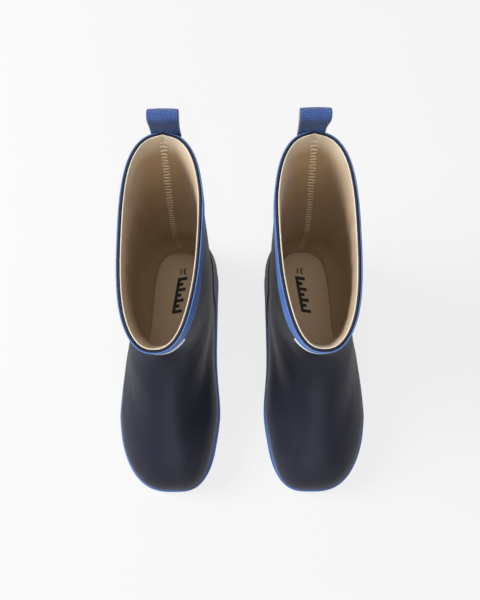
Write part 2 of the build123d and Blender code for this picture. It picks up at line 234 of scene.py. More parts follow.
sole_line = smooth_curve(
    (toe_y - 20, outsole_ball + toe_spring * 1.2), (toe_y + 6, outsole_ball + toe_spring * 0.75),
    (toe_y + 28, outsole_ball + toe_spring * 0.18), (ball_y, outsole_ball),
    (flex_y, outsole_ball + (outsole_heel - outsole_ball) * 0.3),
    (heel_y - 54, outsole_heel), (collar_back + 20, outsole_heel),
)


def contour(z, count):
    """The upper's horizontal outline at height z: count points, evenly spaced, from the back
    round the medial side."""
    z = max(z, rim_height)
    back, front = back_line(z), front_line(z)
    angle = np.linspace(0, 2 * np.pi, 1441)
    along = -np.cos(angle)
    half = (back - front) / 2
    straight = half - min(heel_cap(z), half)
    y = (back + front) / 2 - along * half
    heelward = np.maximum(0, -along * half - straight) / (half - straight)
    share = np.clip(np.where(along > 0, along, heelward), 0, 1)
    fullness = np.where(along > 0, toe_fullness(z), heel_fullness(z))
    breadth = (1 - share**fullness) ** (1 / fullness)
    medial = smooth_curve(*((s, wall(z)) for s, wall in zip(stations, medial_walls)))(y)
    lateral = smooth_curve(*((s, wall(z)) for s, wall in zip(stations, lateral_walls)))(y)
    centre = (medial + lateral) / 2 - toe_turn(z) * np.maximum(0, (along - 0.55) / 0.45) ** 2
    side = np.where(angle < np.pi, -1, 1)
    x = centre + side * breadth * (lateral - medial) / 2
    run = np.concatenate([[0], np.cumsum(np.hypot(np.diff(x), np.diff(y)))])
    target = run[-1] * np.arange(count) / count
    return np.stack([np.interp(target, run, x), np.interp(target, run, y)], axis=1)


base_height = 6.0
row_step = 2.0
row_heights = np.arange(base_height, boot_height + 0.01, row_step)
turn_count = 360


def surface_grid():
    """The upper's outer face as a grid of points, with its outward normals."""
    grid = np.zeros((len(row_heights), turn_count, 3))
    for i, z in enumerate(row_heights):
        grid[i, :, :2] = contour(z, turn_count)
        grid[i, :, 2] = z
    along = np.roll(grid, -1, axis=1) - np.roll(grid, 1, axis=1)
    up = np.gradient(grid, axis=0)
    normal = np.cross(along, up)
    normal /= np.linalg.norm(normal, axis=2, keepdims=True)
    return grid, normal


face_grid, face_normal = surface_grid()


def on_grid(values, turn, z):
    """Bilinear reading of a grid at turn (0 to 1 round the boot) and height z."""
    column = (turn % 1.0) * turn_count
    row = np.clip((z - base_height) / row_step, 0, len(row_heights) - 1.001)
    c0 = np.floor(column).astype(int) % turn_count
    c1 = (c0 + 1) % turn_count
    r0 = np.floor(row).astype(int)
    fc = (column - np.floor(column))[..., None]
    fr = (row - r0)[..., None]
    low = values[r0, c0] * (1 - fc) + values[r0, c1] * fc
    high = values[r0 + 1, c0] * (1 - fc) + values[r0 + 1, c1] * fc
    return low * (1 - fr) + high * fr


seam_peak = 2.0              # the collar's small point at the back seam
swell = 1.6                  # the medial side's bulge over the sole's rim
flare = 1.5                  # the shaft's spread just under the collar, medial and in front


def touches(turn, z):
    """How far moulded rubber stands proud of the plain lines, by turn and height."""
    medial = smooth_step(np.sin(2 * np.pi * turn), 0.05, 0.35)
    waist = 1 + 0.8 * np.exp(-(((turn % 1.0) - 0.28) / 0.07) ** 2)
    bulge = swell * waist * medial * smooth_step(z, 13, 19) * (1 - smooth_step(z, 36, 60))
    near = np.exp(-(((turn % 1.0) - 0.40) / 0.075) ** 2)
    spread = flare * near * smooth_step(z, 178, 196) * (1 - smooth_step(z, 206, 217.5))
    from_back = np.abs((turn + 0.5) % 1.0 - 0.5)
    peak = seam_peak * (np.exp(-from_back / 0.018) - 1.15 * np.exp(-((from_back / 0.06) ** 2)))
    peak = peak * smooth_step(z, boot_height - 45, boot_height - 4)
    drift = 0.12 * np.sin(2 * np.pi * turn * 3 + z * 0.045) * smooth_step(z, 30, 80)
    return bulge + spread + peak + drift


def skin(turn, z, lift):
    """A point of the upper's outer face at turn and z, lifted off it by lift millimetres."""
    turn, z, lift = np.broadcast_arrays(*(np.asarray(v, float) for v in (turn, z, lift)))
    point = on_grid(face_grid, turn, z)
    point[..., 2] = z
    normal = on_grid(face_normal, turn, z)
    level = normal.copy()
    level[..., 2] *= 1 - smooth_step(z, boot_height - 12, boot_height)
    return point + level * (lift + touches(turn, z))[..., None]


def girth(z):
    """Length of the outline at height z."""
    points = contour(z, 360)
    return np.hypot(*(points - np.roll(points, 1, axis=0)).T).sum()


# ---------------------------------------------------------------------------------- mesh builders
class Sheet:
    """Points and quads gathered for one mesh, with a flat map of the surface in millimetres."""

    def __init__(self):
        self.points = []
        self.faces = []
        self.flat = []
        self.count = 0

    def add_grid(self, grid, flat, close_rows=False, close_columns=False, flip=False):
        rows, columns = grid.shape[:2]
        start = self.count
        self.points.append(grid.reshape(-1, 3))
        self.count += rows * columns
        for i in range(rows if close_rows else rows - 1):
            for j in range(columns if close_columns else columns - 1):
                i2, j2 = (i + 1) % rows, (j + 1) % columns
                corners = [(i, j), (i, j2), (i2, j2), (i2, j)]
                if flip:
                    corners.reverse()
                self.faces.append([start + a * columns + b for a, b in corners])
                self.flat.append([self.flat_at(flat, i, j, a, b, rows, columns) for a, b in corners])
        return start

    @staticmethod
    def flat_at(flat, i, j, a, b, rows, columns):
        """The flat place of a corner, carried on past the closing edge."""
        u, v = flat[a, b]
        if b < j:
            u += 2 * flat[a, columns - 1, 0] - flat[a, columns - 2, 0] - flat[a, 0, 0]
        if a < i:
            v = flat[rows - 1, b, 1]
        return u, v


def make_object(name, sheet, side, material, body):
    """A mesh object for one boot: side is 1 for the left boot and -1 for the right one."""
    points = np.concatenate(sheet.points) * MM
    points[:, 0] *= side
    faces = sheet.faces if side > 0 else [face[::-1] for face in sheet.faces]
    mesh = bpy.data.meshes.new(name)
    mesh.from_pydata(points.tolist(), [], faces)
    if sheet.flat:
        layer = mesh.uv_layers.new(name="flat")
        corners = sheet.flat if side > 0 else [face[::-1] for face in sheet.flat]
        flat = np.array([place for face in corners for place in face])
        layer.data.foreach_set("uv", (flat * 0.1).ravel())
    mesh.polygons.foreach_set("use_smooth", [True] * len(mesh.polygons))
    mesh.materials.append(material)
    mesh.update()
    piece = bpy.data.objects.new(name, mesh)
    bpy.context.scene.collection.objects.link(piece)
    if body:
        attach(piece, body)
    return piece


def ring(heights, lifts, turns):
    """A closed band round the boot: heights and lifts hold its section, one row after another."""
    sheet = Sheet()
    grid = skin(turns[None, :], heights, lifts)
    flat = np.stack(np.broadcast_arrays(turns[None, :] * girth(boot_height / 2), heights), axis=-1)
    sheet.add_grid(grid, flat, close_rows=True, close_columns=True)
    return sheet


def eased(count, edge):
    """Shares from 0 to 1 with two extra rows near each end, for a rounded edge."""
    inner = np.linspace(edge, 1 - edge, count)
    return np.concatenate([[0, edge * 0.22, edge * 0.55], inner, [1 - edge * 0.55, 1 - edge * 0.22, 1]])


def close_rim(sheet, first, second, rows, columns, flat, flip=False):
    """Faces round the edge of two grids of the same size, from the first to the second."""
    border = [(0, j) for j in range(columns)] + [(i, columns - 1) for i in range(1, rows)]
    border += [(rows - 1, j) for j in range(columns - 2, -1, -1)] + [(i, 0) for i in range(rows - 2, 0, -1)]
    for (a, b), (c, d) in zip(border, border[1:] + border[:1]):
        p, q = a * columns + b, c * columns + d
        corners = [(first + q, (c, d)), (first + p, (a, b)), (second + p, (a, b)), (second + q, (c, d))]
        if flip:
            corners.reverse()
        sheet.faces.append([corner for corner, _ in corners])
        sheet.flat.append([tuple(flat[place]) for _, place in corners])


def slab(turn, z, low, high):
    """A patch lying on the upper: grids of turn and z, with a rounded rim."""
    rows, columns = turn.shape
    rim = np.ones((rows, columns))
    for ring_index, share in ((2, 0.93), (1, 0.68), (0, 0.0)):
        for edge in (ring_index, rows - 1 - ring_index):
            rim[edge, :] = np.minimum(rim[edge, :], share)
        for edge in (ring_index, columns - 1 - ring_index):
            rim[:, edge] = np.minimum(rim[:, edge], share)
    front = skin(turn, z, low + (high - low) * rim)
    back = skin(turn, z, np.full_like(turn, low - 0.03))
    flat = np.stack([turn * girth(boot_height / 2), z], axis=-1)
    sheet = Sheet()
    first = sheet.add_grid(front, flat)
    second = sheet.add_grid(back, flat, flip=True)
    close_rim(sheet, first, second, rows, columns, flat)
    return sheet


# ------------------------------------------------------------------------------------- materials
def new_material(name):
    material = bpy.data.materials.new(name)
    material.use_nodes = True
    nodes = material.node_tree.nodes
    return material, nodes, material.node_tree.links, nodes["Principled BSDF"]


def ramp(nodes, links, factor, low, high, positions=(0.35, 0.65)):
    node = nodes.new("ShaderNodeValToRGB")
    node.color_ramp.elements[0].position = positions[0]
    node.color_ramp.elements[1].position = positions[1]
    node.color_ramp.elements[0].color = (*low, 1)
    node.color_ramp.elements[1].color = (*high, 1)
    links.new(factor, node.inputs["Fac"])
    return node.outputs["Color"]


def noise(nodes, links, vector, scale, detail=4.0, roughness=0.55):
    node = nodes.new("ShaderNodeTexNoise")
    node.inputs["Scale"].default_value = scale
    node.inputs["Detail"].default_value = detail
    node.inputs["Roughness"].default_value = roughness
    links.new(vector, node.inputs["Vector"])
    return node.outputs["Fac"]


def math_node(nodes, links, kind, *values):
    node = nodes.new("ShaderNodeMath")
    node.operation = kind
    for socket, value in zip(node.inputs, values):
        if isinstance(value, (int, float)):
            socket.default_value = value
        else:
            links.new(value, socket)
    return node.outputs[0]


def wave(nodes, links, position, count):
    """A sine of a position, with count radians to a unit."""
    return math_node(nodes, links, "SINE", math_node(nodes, links, "MULTIPLY", position, count))


def bump(nodes, links, height, strength, distance, normal=None):
    node = nodes.new("ShaderNodeBump")
    node.inputs["Strength"].default_value = strength
    node.inputs["Distance"].default_value = distance
    links.new(height, node.inputs["Height"])
    if normal is not None:
        links.new(normal, node.inputs["Normal"])
    return node.outputs["Normal"]


def rubber(name, dark, light, roughness, grain=900.0, bloom=40.0, specular=0.4):
    """Matte moulded rubber: cloudy bloom, fine grain and a slightly uneven gloss."""
    material, nodes, links, shader = new_material(name)
    place = nodes.new("ShaderNodeTexCoord").outputs["Object"]
    cloud = noise(nodes, links, place, bloom, 6.0, 0.6)
    links.new(ramp(nodes, links, cloud, dark, light), shader.inputs["Base Color"])
    gloss = nodes.new("ShaderNodeMapRange")
    gloss.inputs["To Min"].default_value = roughness - 0.06
    gloss.inputs["To Max"].default_value = roughness + 0.08
    links.new(noise(nodes, links, place, bloom * 3, 3.0), gloss.inputs["Value"])
    links.new(gloss.outputs["Result"], shader.inputs["Roughness"])
    fine = noise(nodes, links, place, grain, 3.0, 0.6)
    normal = bump(nodes, links, fine, 0.22, 0.0002)
    waves = noise(nodes, links, place, 30.0, 2.0)
    links.new(bump(nodes, links, waves, 0.12, 0.002, normal), shader.inputs["Normal"])
    shader.inputs["Specular IOR Level"].default_value = specular
    return material


def woven(name, dark, light, pitch, strength, roughness=0.85, sheen=0.25, turned=False):
    """Cloth with crossing threads, read from the flat map (in millimetres / 10)."""
    material, nodes, links, shader = new_material(name)
    flat = nodes.new("ShaderNodeTexCoord").outputs["UV"]
    place = nodes.new("ShaderNodeTexCoord").outputs["Object"]
    turn = nodes.new("ShaderNodeMapping")
    turn.inputs["Rotation"].default_value = (0, 0, math.radians(45) if turned else 0)
    links.new(flat, turn.inputs["Vector"])
    split = nodes.new("ShaderNodeSeparateXYZ")
    links.new(turn.outputs["Vector"], split.inputs["Vector"])
    count = 2 * math.pi / (pitch * 0.1)
    across = wave(nodes, links, split.outputs["X"], count)
    down = wave(nodes, links, split.outputs["Y"], count)
    threads = math_node(nodes, links, "MULTIPLY", across, down)
    height = math_node(nodes, links, "MULTIPLY_ADD", threads, 0.5, 0.5)
    fuzz = noise(nodes, links, place, 1400.0, 3.0, 0.7)
    mixed = math_node(nodes, links, "MULTIPLY_ADD", fuzz, 0.55, height)
    half = math_node(nodes, links, "MULTIPLY", mixed, 0.5)
    # Painted shade: the hollows between the crossing threads are coloured darker than the threads' crests;
    # the fuzz and the cloudy tone are random.
    tone = math_node(nodes, links, "MULTIPLY_ADD", noise(nodes, links, place, 60.0, 4.0), 0.5, half)
    links.new(ramp(nodes, links, tone, dark, light, (0.3, 0.85)), shader.inputs["Base Color"])
    links.new(bump(nodes, links, mixed, strength, pitch * 0.35 * MM), shader.inputs["Normal"])
    shader.inputs["Roughness"].default_value = roughness
    shader.inputs["Sheen Weight"].default_value = sheen
    shader.inputs["Specular IOR Level"].default_value = 0.2
    return material


def ribbed(name, dark, light, pitch):
    """Rubber moulded with fine crossing ribs, as round the collar."""
    material, nodes, links, shader = new_material(name)
    flat = nodes.new("ShaderNodeTexCoord").outputs["UV"]
    place = nodes.new("ShaderNodeTexCoord").outputs["Object"]
    split = nodes.new("ShaderNodeSeparateXYZ")
    links.new(flat, split.inputs["Vector"])
    count = 2 * math.pi / (pitch * 0.1)
    across = wave(nodes, links, split.outputs["X"], count)
    down = wave(nodes, links, split.outputs["Y"], count * 0.7)
    half = math_node(nodes, links, "MULTIPLY", across, 0.5)
    ribs = math_node(nodes, links, "MULTIPLY_ADD", down, 0.5, half)
    # Painted shade: the hollows between the ribs are coloured darker than the ribs' crests; the noise adds
    # a random tone.
    tone = math_node(nodes, links, "MULTIPLY_ADD", ribs, 0.25, noise(nodes, links, place, 70.0, 4.0))
    links.new(ramp(nodes, links, tone, dark, light, (0.25, 0.8)), shader.inputs["Base Color"])
    links.new(bump(nodes, links, ribs, 0.5, 0.0002), shader.inputs["Normal"])
    shader.inputs["Roughness"].default_value = 0.62
    shader.inputs["Specular IOR Level"].default_value = 0.35
    return material


# Painted shade in the lining: below the lower of these heights the knit takes its shaded brown, above the
# upper one its own pale colour, and it blends between them.
knit_full_shade_below = 0.198     # metres above the ground
knit_no_shade_above = 0.222


def knit(name, dark, light, shade_tones, glow):
    """Brushed cotton knit, pale at the collar and painted a shaded brown below it, which stands in for the
    shade inside the shaft. glow is a weak light of the brown's own, which stands in for light bounced
    about inside the shaft."""
    material, nodes, links, shader = new_material(name)
    flat = nodes.new("ShaderNodeTexCoord").outputs["UV"]
    place = nodes.new("ShaderNodeTexCoord").outputs["Object"]
    split = nodes.new("ShaderNodeSeparateXYZ")
    links.new(flat, split.inputs["Vector"])
    wale = wave(nodes, links, split.outputs["X"], 52.0)
    course = wave(nodes, links, split.outputs["Y"], 44.0)
    loops = math_node(nodes, links, "MULTIPLY", wale, course)
    fuzz = noise(nodes, links, place, 900.0, 4.0, 0.75)
    height = math_node(nodes, links, "MULTIPLY_ADD", loops, 0.22, fuzz)
    patchy = math_node(nodes, links, "MULTIPLY", noise(nodes, links, place, 45.0, 6.0, 0.65), 0.65)
    # Painted shade: the hollows between the knit's loops are coloured a little darker than the loops; the
    # fuzz and the patchy tone are random.
    tone = math_node(nodes, links, "MULTIPLY_ADD", height, 0.35, patchy)
    colour = ramp(nodes, links, tone, dark, light, (0.3, 0.75))
    # Painted shade: by height the pale knit is blended into the shaded brown lower in the shaft.
    up = nodes.new("ShaderNodeSeparateXYZ")
    links.new(place, up.inputs["Vector"])
    depth = nodes.new("ShaderNodeMapRange")
    depth.interpolation_type = "SMOOTHSTEP"
    depth.inputs["From Min"].default_value = knit_full_shade_below
    depth.inputs["From Max"].default_value = knit_no_shade_above
    links.new(up.outputs["Z"], depth.inputs["Value"])
    mix = nodes.new("ShaderNodeMix")
    mix.data_type = "RGBA"
    brown = ramp(nodes, links, tone, shade_tones[0], shade_tones[1], (0.3, 0.75))
    links.new(brown, mix.inputs["A"])
    links.new(brown, shader.inputs["Emission Color"])
    shader.inputs["Emission Strength"].default_value = glow
    links.new(depth.outputs["Result"], mix.inputs["Factor"])
    links.new(colour, mix.inputs["B"])
    links.new(mix.outputs["Result"], shader.inputs["Base Color"])
    links.new(bump(nodes, links, height, 0.6, 0.0004), shader.inputs["Normal"])
    shader.inputs["Roughness"].default_value = 0.95
    shader.inputs["Sheen Weight"].default_value = 0.3
    shader.inputs["Specular IOR Level"].default_value = 0.1
    return material


def plain(name, dark, light, roughness, scale=300.0, strength=0.2):
    """A simple grained finish for pieces that are mostly out of sight."""
    material, nodes, links, shader = new_material(name)
    place = nodes.new("ShaderNodeTexCoord").outputs["Object"]
    grain = noise(nodes, links, place, scale, 5.0, 0.6)
    links.new(ramp(nodes, links, grain, dark, light), shader.inputs["Base Color"])
    links.new(bump(nodes, links, grain, strength, 0.0004), shader.inputs["Normal"])
    shader.inputs["Roughness"].default_value = roughness
    return material


navy = rubber("navy_rubber", (0.0120, 0.0128, 0.0235), (0.0160, 0.0168, 0.0310), 0.52, specular=0.19)
blue = rubber("blue_rubber", (0.05, 0.115, 0.33), (0.065, 0.14, 0.38), 0.55)
band_blue = ribbed("blue_band", (0.05, 0.115, 0.33), (0.085, 0.18, 0.45), 1.1)
webbing = woven("blue_webbing", (0.016, 0.040, 0.14), (0.055, 0.120, 0.34), 1.3, 0.9, turned=True)
tape = woven("webbing_back", (0.55, 0.52, 0.46), (0.80, 0.77, 0.70), 1.1, 0.7)
# Lining knit: the second pair of tones is painted shade for the lining lower in the shaft, and 0.095 is the
# glow that stands in for bounced light.
cotton = knit(
    "cotton_lining", (0.54, 0.46, 0.33), (0.76, 0.69, 0.56),
    ((0.30, 0.190, 0.088), (0.40, 0.262, 0.132)), 0.095,
)
thread = woven("seam_thread", (0.66, 0.57, 0.44), (0.85, 0.78, 0.66), 0.6, 0.6)
felt = woven("insole_fabric", (0.53, 0.40, 0.26), (0.66, 0.515, 0.35), 0.9, 0.6, roughness=0.95)
foam = plain("insole_foam", (0.42, 0.42, 0.40), (0.55, 0.55, 0.52), 0.9)
board = plain("fibreboard", (0.22, 0.16, 0.10), (0.34, 0.26, 0.17), 0.9)
ink = plain("print_ink", (0.010, 0.010, 0.011), (0.018, 0.018, 0.020), 0.75, 900.0, 0.1)
silver = woven(
    "reflective_grey", (0.66, 0.68, 0.71), (0.84, 0.86, 0.89), 0.8, 0.35, roughness=0.4, sheen=0.0,
)


# --------------------------------------------------------------------------------- pieces per boot
turns = np.linspace(0, 1, 240, endpoint=False)
outline_y = skin(turns, 20.0, 0.0)[:, 1]
sole_top = sole_line(outline_y)


def rolled_edge(top, outside, inside, steps=7):
    """Rows that roll over from the outer lift to the inner one below height top."""
    radius = (outside - inside) / 2
    bend = np.linspace(0, math.pi, steps)
    middle = (outside + inside) / 2
    return [(top - radius + radius * math.sin(b), middle + radius * math.cos(b)) for b in bend]


def wall_ring(bottom, top, outside, inside, rows_out, rows_in):
    """A wall round the boot from an array of bottom heights to a rolled top edge."""
    edge = rolled_edge(top, outside, inside)
    start = edge[0][0]
    heights, lifts = [], []
    for s in np.linspace(0, 1, rows_out, endpoint=False):
        heights.append(bottom + (start - bottom) * s)
        lifts.append(np.full_like(bottom, outside))
    for z, lift in edge:
        heights.append(np.full_like(bottom, z))
        lifts.append(np.full_like(bottom, lift))
    for s in np.linspace(1, 0, rows_in + 1)[1:]:
        heights.append(bottom + (start - bottom) * s)
        lifts.append(np.full_like(bottom, inside))
    return np.array(heights), np.array(lifts)


def thinned(z):
    """Share of the wall's thinning towards the collar's edge."""
    return smooth_step(z, boot_height - 20, boot_height - 4)


def make_upper(name, side, body):
    heights, lifts = wall_ring(sole_top + 0.1, boot_height, 0.0, -upper_wall, 104, 40)
    lifts = lifts * (1 - thinned(heights) * collar_thinning / upper_wall)
    piece = make_object(f"{name}_upper_skin", ring(heights, lifts, turns), side, navy, body)
    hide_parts(f"{name}_upper", f"{name}_toe_puff", f"{name}_heel_stiffener")


def waist_draw(turn):
    """How far the foot's bed draws in along the lateral waist."""
    y = skin(turn, rim_height, 0.0)[..., 1]
    lateral = smooth_step(-np.sin(2 * np.pi * turn), 0.0, 0.3)
    return 4.2 * lateral * np.exp(-(((y - 4) / 30) ** 2))


def lining_lift(turn, z):
    """The lining's inner face: a cove at the foot's bed, and soft waves above it."""
    y = skin(turn, rim_height, 0.0)[..., 1]
    above = z - sole_line(y) - insole_stack
    cove = (insole_margin - 0.5) * (1 - smooth_step(above, -6, 62))
    cove = cove + waist_draw(turn) * (1 - smooth_step(above, 0, 60))
    rng = np.random.default_rng(5)
    wave = 0.0
    for _ in range(14):
        around, up, phase = rng.integers(2, 26), rng.uniform(0.02, 0.12), rng.uniform(0, 6.28)
        wave = wave + np.sin(2 * np.pi * around * turn + up * z + phase)
    thin = thinned(z) * (collar_thinning + lining_wall * (1 - edge_share))
    return lining_face + thin - cove + 0.05 * wave * smooth_step(boot_height - z, 2, 14)


def make_lining(name, side, body):
    bottom = sole_top + 4.1
    top = boot_height - 0.1
    outside = -upper_wall - glue_gap
    heights, lifts = wall_ring(bottom, top, outside, lining_face, 30, 104)
    inner = lifts < lining_face + 0.02
    thin = thinned(heights)
    eased_lifts = outside + collar_thinning * thin + (lifts - outside) * (1 - thin * (1 - edge_share))
    lifts = np.where(inner, lining_lift(turns[None, :], heights), eased_lifts)
    piece = make_object(f"{name}_lining_knit", ring(heights, lifts, turns), side, cotton, body)
    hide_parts(f"{name}_lining")


def make_band(name, side, body):
    bottom = np.full_like(turns, band_bottom)
    heights, lifts = wall_ring(bottom, boot_height - 0.4, band_wall, 0.05, 16, 4)
    sag = 0.25 * np.sin(2 * math.pi * turns * 5 + 0.6) + 0.15 * np.sin(2 * math.pi * turns * 11)
    lower = np.clip((band_bottom + 3 - heights) / 3, 0, 1)
    heights = heights + sag[None, :] * lower
    piece = make_object(f"{name}_collar_band", ring(heights, lifts, turns), side, band_blue, body)
    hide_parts(f"{name}_top_band")


def make_foxing(name, side, body):
    """The strip round the joint of upper and sole, with a line moulded along it."""
    section = (
        (0.1, 1.0), (0.6, 1.0), (2.4, 1.0), (2.7, 0.8), (3.0, 0.72), (3.3, 0.8), (3.6, 1.0), (5.0, 0.98),
        (6.0, 0.93), (6.6, 0.75), (6.95, 0.45), (7.0, 0.12), (6.6, 0.0), (3.0, 0.0), (0.1, 0.0),
    )
    heights = np.array([sole_top + z for z, _ in section])
    reach = foxing_gap + foxing_wall
    lifts = np.array([np.full_like(turns, 0.05 + reach * share) for _, share in section])
    piece = make_object(f"{name}_foxing", ring(heights, lifts, turns), side, blue, body)
    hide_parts(f"{name}_foxing_strip")


def make_sole_side(name, side, body):
    """The outsole's side, with its edges eased and two lines moulded round it."""
    lower = smooth_curve(
        (toe_y - 20, toe_spring * 1.6), (toe_y, toe_spring), (toe_y + 22, toe_spring * 0.2),
        (toe_y + 40, 0), (toe_y + 112, 0), (toe_y + 120, arch_lift), (heel_y - 66.01, arch_lift),
        (heel_y - 65, 0), (heel_y + 20, 0),
    )(outline_y)
    section = (
        (0.10, 2.0), (0.10, 2.42), (0.16, 2.58), (0.30, 2.64), (0.36, 2.50), (0.42, 2.64), (0.60, 2.66),
        (0.66, 2.52), (0.72, 2.66), (0.90, 2.62), (0.97, 2.50), (1.00, 2.2), (1.004, 1.6), (0.9, 1.6),
    )
    heights = np.array([lower + (sole_top + 0.08 - lower) * share for share, _ in section])
    lifts = np.array([np.full_like(turns, lift) for _, lift in section])
    piece = make_object(f"{name}_sole_side", ring(heights, lifts, turns), side, blue, body)


def make_counter(name, side, body):
    """The overlay round the heel, behind a curve that climbs from the sole."""
    top = counter_top
    reach = 88.0
    front = heel_y - reach
    edge_y = smooth_curve(
        (base_height, front), (top * 0.40, front + reach * 0.24), (top * 0.78, front + reach * 0.48),
        (top, front + reach * 0.72),
    )
    shares = eased(40, 0.012)
    bottom = outsole_heel + foxing_height - 0.6
    rows = bottom + (top - bottom) * eased(44, 0.012)
    turn = np.zeros((len(rows), len(shares)))
    fine = np.linspace(0, 0.5, 400)
    for i, z in enumerate(rows):
        medial_y = skin(fine, z, 0.0)[:, 1]
        lateral_y = skin(-fine, z, 0.0)[:, 1]
        medial_turn = np.interp(-edge_y(z), -medial_y, fine)
        lateral_turn = -np.interp(-edge_y(z), -lateral_y, fine)
        turn[i] = lateral_turn + (medial_turn - lateral_turn) * shares
    z = np.repeat(rows[:, None], len(shares), axis=1)
    piece = make_object(f"{name}_heel_overlay", slab(turn, z, 0.05, overlay_wall), side, navy, body)
    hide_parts(f"{name}_heel_counter")


def make_back_strip(name, side, body):
    rows = counter_top + 0.1 + (band_bottom - 0.1 - counter_top) * eased(50, 0.004)
    half_turn = 8.0 / girth(150.0)
    shares = eased(12, 0.03) * 2 - 1
    turn = np.repeat((half_turn * shares)[None, :], len(rows), axis=0)
    z = np.repeat(rows[:, None], len(shares), axis=1)
    piece = make_object(f"{name}_seam_strip", slab(turn, z, 0.05, overlay_wall), side, navy, body)
    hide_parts(f"{name}_back_strip")


def make_patch(name, side, body):
    """The reflective patch under the band. Its lower edge stands off the shaft, so that it shows from
    above, and its medial end is trimmed."""
    trim = 3.0
    stand_off = 0.6
    fine = np.linspace(0.35, 0.65, 400)
    x = skin(fine, patch_high[2], 0.0)[:, 0]
    ends = np.interp((patch_low[0] + trim, patch_high[0]), x, fine)
    shares = eased(40, 0.012)
    rows = patch_low[2] + (patch_high[2] - patch_low[2]) * eased(12, 0.04)
    corner = 1.6 / (patch_high[0] - patch_low[0])
    height = (rows - patch_low[2]) / (patch_high[2] - patch_low[2])
    into_corner = np.clip(np.abs(height * 2 - 1) - 0.7, 0, 0.3) / 0.3
    pull = corner * (1 - np.sqrt(np.clip(1 - into_corner**2, 0, 1)))
    turn = np.array([ends[0] + (ends[1] - ends[0]) * (p + (1 - 2 * p) * shares) for p in pull])
    z = np.repeat(rows[:, None], len(shares), axis=1)
    proud = 0.05 + stand_off * (1 - smooth_step(height, 0.0, 0.6))[:, None]
    sheet = slab(turn, z, proud, proud + patch_wall - 0.05)
    piece = make_object(f"{name}_reflector", sheet, side, silver, body)
    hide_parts(f"{name}_reflective_patch")


def tube(path, radius, corners=6):
    """A thin round thread along a path of points."""
    path = np.asarray(path)
    ahead = np.gradient(path, axis=0)
    ahead /= np.linalg.norm(ahead, axis=1, keepdims=True)
    helper = np.array([0.0, 1.0, 0.2])
    across = np.cross(ahead, helper)
    across /= np.linalg.norm(across, axis=1, keepdims=True)
    third = np.cross(ahead, across)
    angle = np.linspace(0, 2 * math.pi, corners, endpoint=False)
    rings = (
        path[:, None, :]
        + radius * np.cos(angle)[None, :, None] * across[:, None, :]
        + radius * np.sin(angle)[None, :, None] * third[:, None, :]
    )
    return rings


def make_lining_seam(name, side, body):
    """The seam down the back of the lining: separate stitches across it, slanted in turn."""
    sheet = Sheet()
    pitch = 3.7
    heights = np.arange(insole_highest + 10, boot_height - 4.0, pitch)
    rng = np.random.default_rng(11)
    for i, z in enumerate(heights):
        reach = 2.3 + 0.2 * rng.standard_normal()
        slant = 0.5 if i % 2 else -0.3
        dense = []
        for s in np.linspace(-1, 1, 9):
            level = z + slant * s
            turn = np.array(s * reach / girth(z))
            arch = 0.34 * (1 - s**4) - 0.22
            dense.append(skin(turn, level, lining_lift(turn, level) - arch))
        grid = tube(dense, 0.36)
        flat = np.zeros((*grid.shape[:2], 2))
        flat[..., 0] = np.arange(grid.shape[1])[None, :] * 0.3
        flat[..., 1] = np.arange(grid.shape[0])[:, None] * 0.5
        sheet.add_grid(grid, flat, close_columns=True)
    piece = make_object(f"{name}_zigzag_seam", sheet, side, thread, body)
    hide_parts(f"{name}_lining_seam")


def insole_outline(count=200):
    """Medial and lateral edge of the insole at evenly turned places from toe to heel."""
    turn = np.linspace(0, 1, 721)
    loop = skin(turn, rim_height, lining_face - insole_margin - waist_draw(turn))
    half = len(loop) // 2
    front = int(np.argmin(loop[:, 1]))
    medial, lateral = loop[: front + 1], loop[front:]
    low_y, high_y = loop[:, 1].min(), loop[0, 1]
    y = low_y + (high_y - low_y) * (1 - np.cos(np.linspace(0, math.pi, count))) / 2
    left = np.interp(-y, -medial[:, 1], medial[:, 0])
    right = np.interp(y, lateral[:, 1], lateral[:, 0])
    return y, left, right


def insole_top(y):
    return sole_line(y) + insole_stack


def pad(low, high, rim, crown):
    """The insole's outline between two heights above the sole, with a rounded rim."""
    y, left, right = insole_outline()
    shares = eased(26, 0.03)
    x = left[:, None] + (right - left)[:, None] * shares[None, :]
    yy = np.repeat(y[:, None], len(shares), axis=1)
    to_side = np.minimum(x - left[:, None], right[:, None] - x)
    to_end = np.minimum(yy - y[0], y[-1] - yy)
    inward = np.minimum(to_side, to_end * 1.5)
    drop = rim * (1 - np.sqrt(np.clip(1 - (1 - np.clip(inward / rim, 0, 1)) ** 2, 0, 1)))
    dish = crown * smooth_step(inward, 0, 14)
    top = sole_line(yy) + high - drop - dish
    under = sole_line(yy) + low
    front = np.stack([x, yy, np.maximum(top, under + 0.05)], axis=-1)
    back = np.stack([x, yy, under], axis=-1)
    flat = np.stack([x, yy], axis=-1)
    sheet = Sheet()
    first = sheet.add_grid(front, flat)
    second = sheet.add_grid(back, flat, flip=True)
    close_rim(sheet, first, second, *x.shape, flat)
    return sheet


def bend_with_insole(piece):
    z = insole_top(flex_y) * MM
    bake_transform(piece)


def make_insole(name, side):
    cover_sheet = pad(insole_stack - 0.9, insole_stack, 0.8, insole_dish)
    cover = make_object(f"{name}_insole_cover", cover_sheet, side, felt, None)
    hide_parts(f"{name}_insole_cover_heel", f"{name}_insole_cover_toe")
    bend_with_insole(cover)
    core_sheet = pad(4.4, insole_stack - 0.95, 0.5, insole_dish)
    core = make_object(f"{name}_insole_core", core_sheet, side, foam, None)
    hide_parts(f"{name}_insole_foam_heel", f"{name}_insole_foam_toe")
    bend_with_insole(core)


